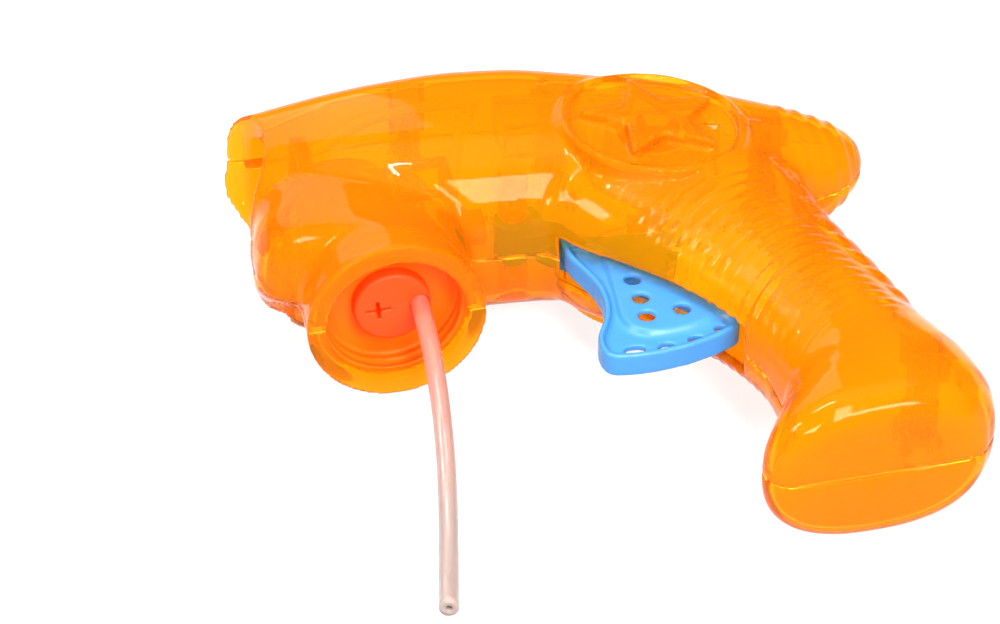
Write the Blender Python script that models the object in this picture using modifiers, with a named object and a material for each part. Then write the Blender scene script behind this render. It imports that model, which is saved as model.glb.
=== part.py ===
"""Hand-worked bubble blower: a pistol-shaped toy with two half casings, a socket for a
refill, a trigger that spins a fan through a gear train, and a small plunger pump.

Lengths are millimetres in the design frame: U runs from the muzzle to the rear, V up the
grip, W to the toy's left. U, V, W lie along world X, Y, Z; the toy lies on its right side.
"""
import bpy
import bmesh
import math
from mathutils import Matrix, Vector

MM = 0.001

# ---------------------------------------------------------------- driving dimensions (mm)
ORIGIN_U, ORIGIN_V, ORIGIN_W = 43.405, -1.54, -22.20   # design point that becomes the row origin
WALL = 2.0                       # casing wall
SEAM = 0.15                      # half of the gap between the two casings
RIM_R = 19.15                    # socket rim, outside
SOCKET_R = 17.2                  # socket bore of the casing
CUP_R, CUP_BORE = 16.9, 15.0     # threaded cup inside it
DISC_R, DISC_V = 8.4, 4.6        # seal disc and its depth below the rim plane
TUBE_R, TUBE_U, TUBE_W = 2.0, 5.76, 0.3
PIVOT = (30.6, 24.0)             # trigger pivot
PULL = 14.0                      # trigger travel, degrees
TRIG_W = 5.0                     # half length of the trigger's hub
BLADE_W = 2.8                    # half thickness of its blade
SLOT_W = 5.9                     # trigger slot half width
SECTOR_Z, PINION_Z, MOD_A = 72, 10, 1.0
WHEEL_Z, FAN_Z, MOD_B = 35, 10, 0.9
MESH_ANGLE = -18.0               # direction from the pivot to the first gear
FAN_ANGLE = 107.0                # direction from the first gear to the fan
FAN_R = 12.0
RING_R = 20.6                    # raised side ring
RING_W = 22.2                    # its height from the mid-plane
PUMP_V, PUMP_W = 33.0, -3.0      # pump axis
SCREWS = [(14.6, 61.2), (47.5, 56.0), (91.0, 35.8), (98.5, -50.0), (-20.4, 24.0), (93.0, 4.0)]

A1 = math.radians(MESH_ANGLE)
REACH = MOD_A * (SECTOR_Z + PINION_Z) / 2
GEAR = (PIVOT[0] + REACH * math.cos(A1), PIVOT[1] + REACH * math.sin(A1))
A2 = math.radians(FAN_ANGLE)
REACH_B = MOD_B * (WHEEL_Z + FAN_Z) / 2
FAN = (GEAR[0] + REACH_B * math.cos(A2), GEAR[1] + REACH_B * math.sin(A2))

# Barrel: U, top V, bottom V, half thickness, squareness
BARREL = [(-25.4, 67.2, 36.5, 15.6, 3.0), (-19.0, 66.7, 33.0, 17.0, 3.1), (-12.0, 66.3, 29.0, 18.6, 3.3),
          (-3.0, 66.2, 24.0, 20.3, 3.6), (8.0, 66.6, 19.0, 21.5, 3.8), (22.0, 66.2, 16.4, 22.0, 4.0),
          (36.0, 63.6, 15.0, 21.9, 4.0), (50.0, 59.2, 11.0, 21.4, 3.6), (64.0, 54.6, 8.5, 20.6, 3.2),
          (78.0, 52.2, 13.0, 18.6, 2.8), (90.0, 50.2, 18.5, 16.0, 2.4), (98.0, 48.6, 22.3, 13.7, 2.2),
          (104.5, 46.9, 25.0, 11.2, 2.0), (109.3, 44.2, 28.8, 7.8, 2.0), (112.4, 40.9, 32.7, 4.2, 2.0),
          (113.3, 38.2, 35.6, 1.3, 2.0)]
# Front housing over the socket: V, front U, rear U, half thickness, squareness
HOUSING = [(0.0, -RIM_R, RIM_R, RIM_R, 2.0), (8.4, -18.9, 18.9, 18.9, 2.0), (10.6, -19.6, 18.9, 18.6, 2.0),
           (12.6, -22.6, 19.0, 18.2, 2.2), (15.4, -25.2, 19.3, 17.8, 2.5), (19.5, -26.5, 19.7, 17.5, 2.7),
           (26.0, -26.2, 20.0, 17.3, 2.8), (34.0, -24.9, 20.0, 17.0, 2.8), (44.0, -24.6, 20.0, 16.0, 2.8)]
# Grip and pommel: V at the middle, front U, rear U, half thickness, squareness, tilt of the section (deg)
GRIP = [(30.0, 56.0, 94.0, 13.0, 2.4, 0.0), (18.0, 36.0, 96.5, 14.8, 2.4, 0.0), (9.0, 40.5, 99.2, 15.5, 2.3, 0.0),
        (0.0, 49.8, 102.0, 15.6, 2.3, 1.0), (-9.0, 57.6, 104.8, 15.3, 2.3, 2.0), (-18.0, 63.6, 106.6, 14.9, 2.3, 3.0),
        (-27.0, 67.6, 108.3, 14.6, 2.3, 4.5), (-35.0, 68.8, 110.4, 14.9, 2.4, 6.0), (-43.0, 66.4, 112.4, 16.2, 2.5, 8.0),
        (-51.0, 63.2, 113.0, 17.6, 2.6, 9.5), (-58.0, 61.0, 111.6, 18.2, 2.7, 10.5), (-63.5, 61.0, 109.0, 17.3, 2.7, 11.5),
        (-66.0, 64.0, 105.5, 14.2, 2.6, 11.5)]
# Dip tube: middle line from the seal disc to its resting end
DIP = [(5.76, 8.4, 0.3), (5.72, 4.6, 0.3), (5.2, -5.8, 0.0), (4.7, -13.4, -1.2), (4.05, -20.9, -3.2), (3.4, -27.2, -6.0),
       (2.9, -31.4, -8.9), (2.35, -35.3, -11.7), (1.55, -39.7, -14.2), (0.6, -44.4, -16.3), (-0.45, -49.3, -18.0),
       (-1.7, -54.9, -19.3), (-3.05, -60.8, -20.0), (-4.5, -67.4, -20.15)]
FEED = [(22.5, 40.0, PUMP_W), (22.5, 42.4, PUMP_W), (22.6, 44.8, -1.4), (22.8, 46.4, 3.0), (23.4, 47.4, 8.6), (25.4, 48.8, 12.8),
        (28.4, 51.2, 14.2), (28.2, 54.2, 14.2), (24.2, 56.5, 14.0), (18.0, 57.2, 13.6), (11.0, 56.8, 13.2), (4.0, 55.6, 12.6),
        (-2.0, 53.6, 11.4), (-5.6, 52.4, 10.0), (-8.6, 52.0, 9.5)]
SUCTION = [(5.76, 15.6, 0.3), (5.9, 18.5, 0.2), (6.8, 23.0, -0.4), (9.4, 28.8, -1.6), (12.8, 32.2, -2.6), (16.9, 33.0, -3.0)]

for old in list(bpy.data.objects):
    bpy.data.objects.remove(old, do_unlink=True)

PARTS = bpy.data.collections.new("bubble_blower")
bpy.context.scene.collection.children.link(PARTS)
ROOT = bpy.data.objects.new("design_origin", None)
ROOT.location = (-ORIGIN_U * MM, -ORIGIN_V * MM, -ORIGIN_W * MM)
PARTS.objects.link(ROOT)


def material(name, colour, roughness, metallic=0.0, transmission=0.0):
    m = bpy.data.materials.new(name)
    m.use_nodes = True
    b = m.node_tree.nodes["Principled BSDF"]
    b.inputs["Base Color"].default_value = (*colour, 1.0)
    b.inputs["Roughness"].default_value = roughness
    b.inputs["Metallic"].default_value = metallic
    b.inputs["Transmission Weight"].default_value = transmission
    return m


ORANGE_CLEAR = material("clear_orange", (1.0, 0.36, 0.01), 0.08, 0.0, 0.85)
ORANGE = material("orange_red", (1.0, 0.13, 0.015), 0.35)
SEAL = material("soft_orange", (1.0, 0.2, 0.03), 0.5)
MILKY = material("milky_tube", (0.9, 0.85, 0.82), 0.35, 0.0, 0.3)
YELLOW_CLEAR = material("clear_yellow", (0.85, 0.8, 0.2), 0.1, 0.0, 0.8)
BLUE = material("blue", (0.05, 0.35, 0.85), 0.3)
STEEL = material("steel", (0.6, 0.6, 0.62), 0.3, 1.0)
WHITE = material("white_nylon", (0.9, 0.9, 0.88), 0.4)


# ---------------------------------------------------------------- mesh helpers (input in mm)
def put(name, mesh, at=(0.0, 0.0, 0.0)):
    o = bpy.data.objects.new(name, mesh)
    PARTS.objects.link(o)
    o.parent = ROOT
    o.location = (at[0] * MM, at[1] * MM, at[2] * MM)
    return o


def from_bm(name, bm):
    bmesh.ops.recalc_face_normals(bm, faces=bm.faces)
    me = bpy.data.meshes.new(name)
    bm.to_mesh(me)
    bm.free()
    return put(name, me)


def applied(obj, weld=True):
    """The object with its modifiers made real."""
    bpy.context.view_layer.update()
    graph = bpy.context.evaluated_depsgraph_get()
    me = bpy.data.meshes.new_from_object(obj.evaluated_get(graph))
    if weld:
        bm = bmesh.new()
        bm.from_mesh(me)
        bmesh.ops.remove_doubles(bm, verts=bm.verts, dist=1e-7)
        bm.to_mesh(me)
        bm.free()
    name, at = obj.name, obj.location.copy()
    bpy.data.objects.remove(obj, do_unlink=True)
    me.name = name
    new = put(name, me)
    new.location = at
    return new


def boolean(obj, tool, operation, solver="EXACT"):
    m = obj.modifiers.new("cut", "BOOLEAN")
    m.operation = operation
    m.solver = solver
    m.object = tool
    new = applied(obj, solver == "EXACT")
    bpy.data.objects.remove(tool, do_unlink=True)
    return new


def join(obj, *tools, solver="EXACT"):
    for t in tools:
        obj = boolean(obj, t, "UNION", solver)
    return obj


def cut(obj, *tools, solver="EXACT"):
    for t in tools:
        obj = boolean(obj, t, "DIFFERENCE", solver)
    return obj


def loft(name, rings):
    """A skin through equal closed rings of points, with flat ends."""
    bm = bmesh.new()
    rows = [[bm.verts.new([c * MM for c in p]) for p in ring] for ring in rings]
    n = len(rows[0])
    for a, b in zip(rows, rows[1:]):
        for i in range(n):
            bm.faces.new((a[i], a[(i + 1) % n], b[(i + 1) % n], b[i]))
    bm.faces.new(rows[0])
    bm.faces.new(rows[-1])
    return from_bm(name, bm)


def squircle(a, b, n, count):
    pts = []
    for k in range(count):
        t = 2 * math.pi * k / count
        c, s = math.cos(t), math.sin(t)
        pts.append((a * math.copysign(abs(c) ** (2 / n), c), b * math.copysign(abs(s) ** (2 / n), s)))
    return pts


def cylinder(name, r, a, b, count=16, r2=None):
    """A round bar from point a to point b."""
    a, b = Vector(a), Vector(b)
    bm = bmesh.new()
    d = b - a
    bmesh.ops.create_cone(bm, cap_ends=True, segments=count, radius1=r * MM, radius2=(r if r2 is None else r2) * MM,
                          depth=d.length * MM)
    turn = Vector((0, 0, 1)).rotation_difference(d.normalized()).to_matrix().to_4x4()
    bmesh.ops.transform(bm, matrix=Matrix.Translation((a + b) / 2 * MM) @ turn, verts=bm.verts)
    return from_bm(name, bm)


def box(name, low, high):
    bm = bmesh.new()
    bmesh.ops.create_cube(bm, size=1.0)
    for v in bm.verts:
        v.co = [(lo + (hi - lo) * (c + 0.5)) * MM for c, lo, hi in zip(v.co, low, high)]
    return from_bm(name, bm)


def plate(name, outlines, w0, w1):
    """A flat outline in U, V, with holes, between two heights."""
    cu = bpy.data.curves.new(name, "CURVE")
    cu.dimensions = "2D"
    cu.fill_mode = "BOTH"
    cu.extrude = (w1 - w0) / 2 * MM
    for pts in outlines:
        s = cu.splines.new("POLY")
        s.points.add(len(pts) - 1)
        for p, (u, v) in zip(s.points, pts):
            p.co = (u * MM, v * MM, 0, 1)
        s.use_cyclic_u = True
    o = put(name, cu)
    o = applied(o)
    for v in o.data.vertices:
        v.co.z += (w0 + w1) / 2 * MM
    bm = bmesh.new()
    bm.from_mesh(o.data)
    bmesh.ops.recalc_face_normals(bm, faces=bm.faces)
    bm.to_mesh(o.data)
    bm.free()
    return o


def circle(c, r, count=16, start=0.0):
    return [(c[0] + r * math.cos(start + 2 * math.pi * k / count), c[1] + r * math.sin(start + 2 * math.pi * k / count))
            for k in range(count)]


def turned(name, profile, count, axis="V", at=(0.0, 0.0, 0.0)):
    """A profile of (radius, height), from the top down its outer side, turned about an axis."""
    me = bpy.data.meshes.new(name)
    n = len(profile)
    closed = profile[0][0] > 0 or profile[-1][0] > 0
    me.from_pydata([(r * MM, 0, h * MM) for r, h in profile],
                   [(i, (i + 1) % n) for i in range(n if closed else n - 1)], [])
    o = put(name, me)
    m = o.modifiers.new("turn", "SCREW")
    m.steps = m.render_steps = count
    m.use_merge_vertices = True
    m.merge_threshold = 1e-6
    m.use_normal_calculate = True
    o = applied(o)
    turn = {"V": Matrix.Rotation(-math.pi / 2, 4, "X"), "U": Matrix.Rotation(math.pi / 2, 4, "Y"),
            "W": Matrix.Identity(4)}[axis]
    o.data.transform(Matrix.Translation([c * MM for c in at]) @ turn)
    bm = bmesh.new()
    bm.from_mesh(o.data)
    bmesh.ops.recalc_face_normals(bm, faces=bm.faces)
    bm.to_mesh(o.data)
    bm.free()
    return o


def smooth_path(points, step):
    """Points a step apart on a smooth curve through the given ones."""
    pts = [Vector(p) for p in points]
    ext = [2 * pts[0] - pts[1]] + pts + [2 * pts[-1] - pts[-2]]
    fine = []
    for i in range(len(pts) - 1):
        p0, p1, p2, p3 = ext[i:i + 4]
        for k in range(24):
            t = k / 24
            fine.append(0.5 * (2 * p1 + (p2 - p0) * t + (2 * p0 - 5 * p1 + 4 * p2 - p3) * t * t
                               + (3 * p1 - p0 - 3 * p2 + p3) * t ** 3))
    fine.append(pts[-1])
    length = [0.0]
    for a, b in zip(fine, fine[1:]):
        length.append(length[-1] + (b - a).length)
    count = max(2, round(length[-1] / step))
    out, j = [], 0
    for k in range(count + 1):
        s = length[-1] * k / count
        while j < len(fine) - 2 and length[j + 1] < s:
            j += 1
        f = (s - length[j]) / (length[j + 1] - length[j])
        out.append(fine[j].lerp(fine[j + 1], min(1.0, f)))
    return out


def tube(name, points, r, resolution):
    cu = bpy.data.curves.new(name, "CURVE")
    cu.dimensions = "3D"
    cu.bevel_depth = r * MM
    cu.bevel_resolution = resolution
    cu.use_fill_caps = True
    s = cu.splines.new("POLY")
    s.points.add(len(points) - 1)
    for p, q in zip(s.points, points):
        p.co = (q[0] * MM, q[1] * MM, q[2] * MM, 1)
    return put(name, cu)


def gear_outline(c, z, m, phase, play=0.3, first=0, last=None, addendum=0.85):
    """Involute teeth round a centre; a run of teeth when last is given."""
    r = m * z / 2
    base = r * math.cos(math.radians(20))
    tip, root = r + addendum * m, r - 1.2 * m
    inv0 = math.tan(math.radians(20)) - math.radians(20)
    half = (math.pi * m / 2 - play) / (2 * r) + inv0

    def flank(rho):
        if rho <= base:
            return half - (0.035 if z < 17 and rho < base - 0.2 * m else 0.0)
        a = math.acos(base / rho)
        return half - (math.tan(a) - a)

    radii = [root, base, r, tip] if z < 17 else [root, r, tip]
    pts = []
    for k in range(first, z if last is None else last):
        t = phase + 2 * math.pi * k / z
        pts += [(c[0] + q * math.cos(t - flank(q)), c[1] + q * math.sin(t - flank(q))) for q in radii]
        pts += [(c[0] + q * math.cos(t + flank(q)), c[1] + q * math.sin(t + flank(q))) for q in reversed(radii)]
    return pts


def finish(obj, mat, angle=35.0):
    obj.data.materials.clear()
    obj.data.materials.append(mat)
    if obj.type == "MESH":
        obj.data.shade_smooth()
        obj.data.set_sharp_from_angle(angle=math.radians(angle))
    return obj


# ---------------------------------------------------------------- casing
def barrel(name, off, front, rear):
    rings = []
    for u, top, low, t, n in BARREL:
        h, b = (top - low) / 2 - off, t - off
        if h < 0.6:
            continue
        if off:
            u = min(u, rear)
        rings.append([(u, (top + low) / 2 + x, y) for x, y in squircle(h, b, n, 28)])
    if front is not None:
        rings.insert(0, [(front, p[1], p[2]) for p in rings[0]])
    return loft(name, rings)


def housing(name, off, low):
    rings = []
    for v, a, b, t, n in HOUSING:
        o = off
        if off and v < 10:
            o = RIM_R - SOCKET_R if v < 1 else 18.9 - SOCKET_R
        rings.append([((a + b) / 2 + x, v, y) for x, y in squircle((b - a) / 2 - o, t - o, n, 30)])
    if low is not None:
        rings.insert(0, [(p[0], low, p[2]) for p in rings[0]])
    return loft(name, rings)


def grip(name, off):
    rings = []
    for i, (v, a, b, t, n, tilt) in enumerate(GRIP):
        c, h = (a + b) / 2, (b - a) / 2 - off
        k = math.tan(math.radians(tilt))
        lift = off if i == len(GRIP) - 1 else 0.0
        rings.append([(c + x, v + lift + k * x, y) for x, y in squircle(h, t - off, n, 28)])
    return loft(name, rings)


def body(name, off):
    if off:
        b = barrel(name, off, -34.0, 110.8)
        return join(b, housing("h", off, -4.0), grip("g", off),
                    cylinder("d", RING_R - 2.2, (*FAN, -RING_W + 2.6), (*FAN, RING_W - 2.6), 36))
    b = barrel(name, 0.0, None, None)
    ring = turned("d", [(0, RING_W), (RING_R - 1.0, RING_W), (RING_R, RING_W - 1.0), (RING_R, -RING_W + 1.0),
                        (RING_R - 1.0, -RING_W), (0, -RING_W)], 36, "W", (*FAN, 0))
    return join(b, housing("h", 0.0, None), grip("g", 0.0), ring)


def half(name, side):
    """One half casing with its screw posts, pivot post and openings."""
    shell = cut(body(name, 0.0), body("i", WALL))
    # scooped muzzle, trigger slot
    shell = cut(shell, cylinder("m", 22.0, (-40.2, 51.5, -40), (-40.2, 51.5, 40), 40),
                plate("s", [[(38.4, 20.5), (38.4, -34), (58, -34), (70.0, -25.6), (74, -8), (60, 12), (48, 20.5)]],
                      -SLOT_W, SLOT_W))
    reach = (SEAM, 40) if side > 0 else (-40, -SEAM)
    shell = boolean(shell, box("k", (-80, -120, reach[0]), (150, 120, reach[1])), "INTERSECT", "MANIFOLD")
    inside = body("o", 0.6)
    posts = []
    for k, (u, v) in enumerate(SCREWS):
        r = 2.4 if side > 0 else 3.9
        posts.append(cylinder("p%d" % k, r, (u, v, side * 0.35), (u, v, side * 30), 14))
    posts.append(cylinder("pp", 3.3, (*PIVOT, side * (TRIG_W + 0.5)), (*PIVOT, side * 30), 14))
    if side < 0:
        for k, (u, v) in enumerate(PLATE_POSTS):
            posts.append(cylinder("g%d" % k, 2.3, (u, v, -12.7), (u, v, -30), 12))
    allposts = posts[0]
    for p in posts[1:]:
        allposts = join(allposts, p, solver="MANIFOLD")
    allposts = boolean(allposts, inside, "INTERSECT", "MANIFOLD")
    shell = join(shell, allposts, solver="MANIFOLD")
    for k, (u, v) in enumerate(SCREWS):
        if side > 0:
            shell = cut(shell, cylinder("h", 1.4, (u, v, 0), (u, v, 9.0), 12), solver="MANIFOLD")
        else:
            shell = cut(shell, cylinder("h", 1.4, (u, v, 0), (u, v, -8.0), 12),
                        cylinder("c", 2.7, (u, v, -7.5), (u, v, -40), 14), solver="MANIFOLD")
    shell = cut(shell, cylinder("h", 1.8, (*PIVOT, 0), (*PIVOT, side * 11.0), 14), solver="MANIFOLD")
    if side < 0:
        for u, v in PLATE_POSTS:
            shell = cut(shell, cylinder("h", 1.2, (u, v, -12), (u, v, -17.0), 10), solver="MANIFOLD")
        for k in range(6):
            a = math.radians(60 * k + 15)
            shell = cut(shell, cylinder("v", 1.6, (FAN[0] + 9 * math.cos(a), FAN[1] + 9 * math.sin(a), -10),
                                        (FAN[0] + 9 * math.cos(a), FAN[1] + 9 * math.sin(a), -30), 10), solver="MANIFOLD")
    return finish(shell, ORANGE_CLEAR, 30)


PLATE_POSTS = [(56.5, 22.0), (78.8, 30.0)]
half("shell_left", 1)
half("shell_right", -1)

# ---------------------------------------------------------------- refill socket
cup = turned("socket_insert", [
    (0.0, 23.2), (14.4, 23.2), (14.9, 22.6), (14.9, 10.4), (16.5, 8.4), (CUP_R, 7.6), (CUP_R, 0.9), (CUP_R - 0.3, 0.6), (CUP_BORE, 0.6),
    (CUP_BORE, 1.6), (CUP_BORE - 0.8, 2.2), (CUP_BORE - 0.8, 2.8), (CUP_BORE, 3.4),
    (CUP_BORE, 4.8), (CUP_BORE - 0.8, 5.4), (CUP_BORE - 0.8, 6.0), (CUP_BORE, 6.6), (CUP_BORE, 8.0), (CUP_BORE - 0.8, 8.8), (0.0, 8.8)], 26)


def arch(name, rows):
    """A rounded sleeve along V: V, middle U, half width, half height."""
    return loft(name, [[(c + x, v, w) for x, w in squircle(a, b, 2.6, 36)] for v, c, a, b in rows])


cup = join(cup, arch("b", [(21.0, -2.0, 11.6, 13.6), (28.0, -3.4, 11.8, 14.2), (33.0, -4.7, 12.2, 14.8), (40.8, -4.9, 12.4, 15.2)]))
cup = cut(cup, arch("t", [(24.2, -2.6, 9.8, 12.0), (28.0, -3.4, 10.0, 12.4), (33.0, -4.7, 10.4, 13.0), (45.0, -4.9, 10.6, 13.4)]),
          cylinder("f", 9.0, (0, 15.2, 0), (0, 24.6, 0), 20),
          cylinder("b", 1.2, (TUBE_U, 8, TUBE_W), (TUBE_U, 16, TUBE_W), 10),
          box("w", (4.4, 23.6, -4.6), (13.0, 34.5, 2.4)))
# two rails from the sleeve to the plate that carries the pump
cup = join(cup, box("r1", (5.6, 38.6, 9.6), (19.5, 40.8, 12.2)), box("r2", (6.6, 38.4, 0.6), (19.4, 40.6, 3.2)))
cup = join(cup, box("p", (17.6, 27.0, -8.0), (19.5, 40.8, 12.2)))
cup = cut(cup, cylinder("r", 1.2, (15, PUMP_V, PUMP_W), (21, PUMP_V, PUMP_W), 10))
finish(cup, ORANGE)
disc = turned("seal_disc", [(0.0, 8.5), (DISC_R, 8.5), (DISC_R, DISC_V + 0.6), (DISC_R - 0.6, DISC_V), (0.0, DISC_V)], 32)
disc = cut(disc, cylinder("h", TUBE_R + 0.35, (TUBE_U, 0, TUBE_W), (TUBE_U, 14, TUBE_W), 16),
           box("x", (-5.8, 0, -0.35), (-0.6, 7.4, 0.35)), box("y", (-3.55, 0, -2.6), (-2.85, 7.4, 2.6)))
finish(disc, SEAL)
finish(tube("dip_tube", smooth_path(DIP, 5.0), TUBE_R, 3), MILKY)
finish(tube("suction_tube", smooth_path(SUCTION, 3.2), 1.4, 2), MILKY)

# ---------------------------------------------------------------- pump
barrel_p = cylinder("pump_barrel", 4.0, (19.8, PUMP_V, PUMP_W), (26.0, PUMP_V, PUMP_W), 20)
barrel_p = join(barrel_p, cylinder("n", 1.6, (22.5, PUMP_V + 2, PUMP_W), (22.5, 39.5, PUMP_W), 12))
barrel_p = cut(barrel_p, cylinder("b", 2.6, (21.2, PUMP_V, PUMP_W), (30, PUMP_V, PUMP_W), 16),
               cylinder("i", 1.0, (19, PUMP_V, PUMP_W), (22, PUMP_V, PUMP_W), 10),
               cylinder("o", 0.8, (22.5, PUMP_V, PUMP_W), (22.5, 41, PUMP_W), 10))
finish(barrel_p, ORANGE)
plunger = turned("pump_plunger", [(0.0, 34.8), (2.9, 34.8), (2.9, 33.6), (1.2, 33.6), (1.2, 25.6), (2.3, 25.6),
                                  (2.3, 24.0), (0.0, 24.0)], 16, "U", (0, PUMP_V, PUMP_W))
finish(plunger, WHITE)
coil = []
for k in range(56):
    t = k / 55
    a = 2 * math.pi * 5.5 * t
    coil.append((26.65 + (33.25 - 26.65) * t, PUMP_V + 2.2 * math.cos(a), PUMP_W + 2.2 * math.sin(a)))
finish(tube("pump_spring", coil, 0.28, 0), STEEL)
finish(tube("feed_tube", smooth_path(FEED, 3.4), 1.3, 2), MILKY)
ring = turned("bubble_ring", [(8.0, -9.0), (11.0, -9.0), (11.0, -12.0), (8.0, -12.0)], 28, "U", (0, 52.0, 0))
ring = join(ring, box("s", (-11.6, 38.0, -3.0), (-9.4, 41.8, 3.0)))
finish(ring, SEAL)

# ---------------------------------------------------------------- trigger
outline = [(39.4, 19.7), (39.5, 13.0), (39.9, 9.8), (41.4, 5.6), (42.7, 1.6), (43.3, -2.6), (43.1, -6.5), (42.2, -10.6), (40.8, -13.6),
           (39.1, -16.8), (38.4, -19.5), (38.5, -22.4), (39.3, -24.4), (41.0, -25.4), (45.5, -26.0), (50.1, -26.0), (56.8, -25.2),
           (63.8, -23.2), (68.8, -20.8), (69.4, -17.5), (66.5, -12.0), (57.6, -1.5), (50.6, 9.0), (45.0, 16.5), (41.0, 23.5),
           (30.6, 28.2), (30.6, 19.8)]
HOLES = [(50.9, -0.6), (50.9, -7.2), (50.5, -13.4), (58.4, -12.8)]
EDGE_HOLES = [(45.7, -21.5), (52.5, -22.2), (59.0, -21.1), (65.2, -18.9)]
trig = plate("trigger", [outline] + [circle(h, 1.85, 12) for h in HOLES] + [circle(h, 1.3, 10) for h in EDGE_HOLES], -BLADE_W, BLADE_W)
trig = join(trig, cylinder("h", 4.3, (*PIVOT, -TRIG_W), (*PIVOT, TRIG_W), 20))
trig = join(trig, plate("a", [[(35.4, 22.0), (40.5, 22.0), (38.3, 33.0)] +
                              [(36.75 + 1.55 * math.cos(math.radians(q)), 33.0 + 1.55 * math.sin(math.radians(q)))
                               for q in range(30, 181, 30)]], -TRIG_W, 0.0))
tooth = 2 * math.pi / SECTOR_Z
phase = A1 + tooth / 2
teeth = gear_outline(PIVOT, SECTOR_Z, MOD_A, phase, first=-5, last=2)
lo, hi = phase - 5.6 * tooth, phase + 1.6 * tooth
web = ([(PIVOT[0] + 3.0 * math.cos(lo), PIVOT[1] + 3.0 * math.sin(lo))] +
       [(PIVOT[0] + 34.8 * math.cos(lo), PIVOT[1] + 34.8 * math.sin(lo))] + teeth +
       [(PIVOT[0] + 34.8 * math.cos(hi), PIVOT[1] + 34.8 * math.sin(hi))] +
       [(PIVOT[0] + 3.0 * math.cos(hi), PIVOT[1] + 3.0 * math.sin(hi))])
trig = join(trig, plate("w", [web], -TRIG_W + 0.02, -1.0))
trig = cut(trig, cylinder("b", 1.75, (*PIVOT, -12), (*PIVOT, 12), 16))
finish(trig, BLUE)
finish(cylinder("trigger_pin", 1.45, (*PIVOT, -10.6), (*PIVOT, 10.6), 14), STEEL)

# ---------------------------------------------------------------- gear train and fan
gear = plate("first_gear", [gear_outline(GEAR, PINION_Z, MOD_A, A1 + math.pi)], -5.9, -0.8)
gear = join(gear, plate("w", [gear_outline(GEAR, WHEEL_Z, MOD_B, A2 + math.pi / WHEEL_Z)], -9.6, -5.8))
gear = cut(gear, cylinder("b", 1.3, (*GEAR, -20), (*GEAR, 20), 12))
finish(gear, WHITE)
finish(cylinder("first_gear_axle", 1.0, (*GEAR, -12.4), (*GEAR, 0.2), 12), STEEL)
fan = plate("fan", [gear_outline(FAN, FAN_Z, MOD_B, A2 + math.pi)], -9.6, -5.7)
fan = join(fan, cylinder("s", 2.0, (*FAN, -6.0), (*FAN, 10.4), 16), cylinder("d", FAN_R, (*FAN, 9.6), (*FAN, 10.5), 36),
           cylinder("h", 3.6, (*FAN, 9.8), (*FAN, 15.2), 16), cylinder("k", 5.6, (*FAN, 0.6), (*FAN, 7.0), 20))
for k in range(8):
    a = 2 * math.pi * k / 8
    ca, sa = math.cos(a), math.sin(a)
    blade = [(2.5, -0.5), (FAN_R - 0.4, -0.5), (FAN_R - 0.4, 0.5), (2.5, 0.5)]
    fan = join(fan, plate("v", [[(FAN[0] + x * ca - y * sa, FAN[1] + x * sa + y * ca) for x, y in blade]], 10.1, 14.8))
fan = cut(fan, cylinder("b", 1.3, (*FAN, -20), (*FAN, 20), 12))
finish(fan, ORANGE)
finish(cylinder("fan_axle", 1.0, (*FAN, -13.4), (*FAN, 15.6), 12), STEEL)
plate_line = [(53.5, 21.0), (55.5, 25.5), (60.0, 36.5), (66.0, 37.0), (80.0, 34.5), (84.2, 31.0), (80.6, 27.0), (73.6, 13.0),
              (72.4, 8.6), (66.9, 8.6), (60.0, 15.0)]
finish(plate("gear_plate", [plate_line, circle(GEAR, 1.3, 12), circle(FAN, 1.3, 12)] +
             [circle(p, 1.4, 12) for p in PLATE_POSTS], -12.4, -11.2), WHITE)


def duct_line(grow, front):
    """Round fan chamber with a duct that leaves its top towards the muzzle."""
    r = 14.8 + grow
    low = 40.5 - grow
    pts = [(front, 52.0 + grow), (front, low)]
    a0 = math.pi - math.asin((low - FAN[1]) / r)
    a1 = 2 * math.pi + math.radians(80)
    pts += [(FAN[0] + r * math.cos(a0 + (a1 - a0) * k / 24), FAN[1] + r * math.sin(a0 + (a1 - a0) * k / 24)) for k in range(25)]
    return pts


duct = plate("fan_housing", [duct_line(0.0, 33.0)], 8.1, 16.1)
duct = cut(duct, plate("c", [duct_line(-1.3, 26.0)], 9.2, 22.0), cylinder("b", 2.35, (*FAN, 2), (*FAN, 11), 16))
finish(duct, YELLOW_CLEAR)
finish(plate("fan_cover", [duct_line(0.0, 33.0), circle(FAN, 8.0, 24)], 16.4, 17.5), YELLOW_CLEAR)

# ---------------------------------------------------------------- screws
for k, (u, v) in enumerate(SCREWS):
    finish(turned("casing_screw_%d" % (k + 1), [(0, 8.0), (1.1, 7.0), (1.1, -7.8), (2.3, -7.8), (2.3, -9.0), (1.6, -9.5), (0, -9.5)],
                  10, "W", (u, v, 0)), STEEL)
for k, (u, v) in enumerate(PLATE_POSTS):
    finish(turned("plate_screw_%d" % (k + 1), [(0, -9.9), (1.2, -9.9), (2.0, -10.2), (2.0, -10.9), (0.9, -10.9), (0.9, -16.0), (0, -16.5)],
                  10, "W", (u, v, 0)), STEEL)

for o, at in (("trigger", (*PIVOT, 0.0)), ("first_gear", (*GEAR, 0.0)), ("fan", (*FAN, 0.0)), ("pump_plunger", (34.8, PUMP_V, PUMP_W))):
    p = bpy.data.objects[o]
    p.data.transform(Matrix.Translation([-c * MM for c in at]))
    p.location = [c * MM for c in at]
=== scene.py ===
"""Looks of a hand-worked bubble blower: clear orange casing, opaque insert, blue trigger, dip tube."""
import math

import bpy
import numpy as np
from mathutils import Matrix, Vector

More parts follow.
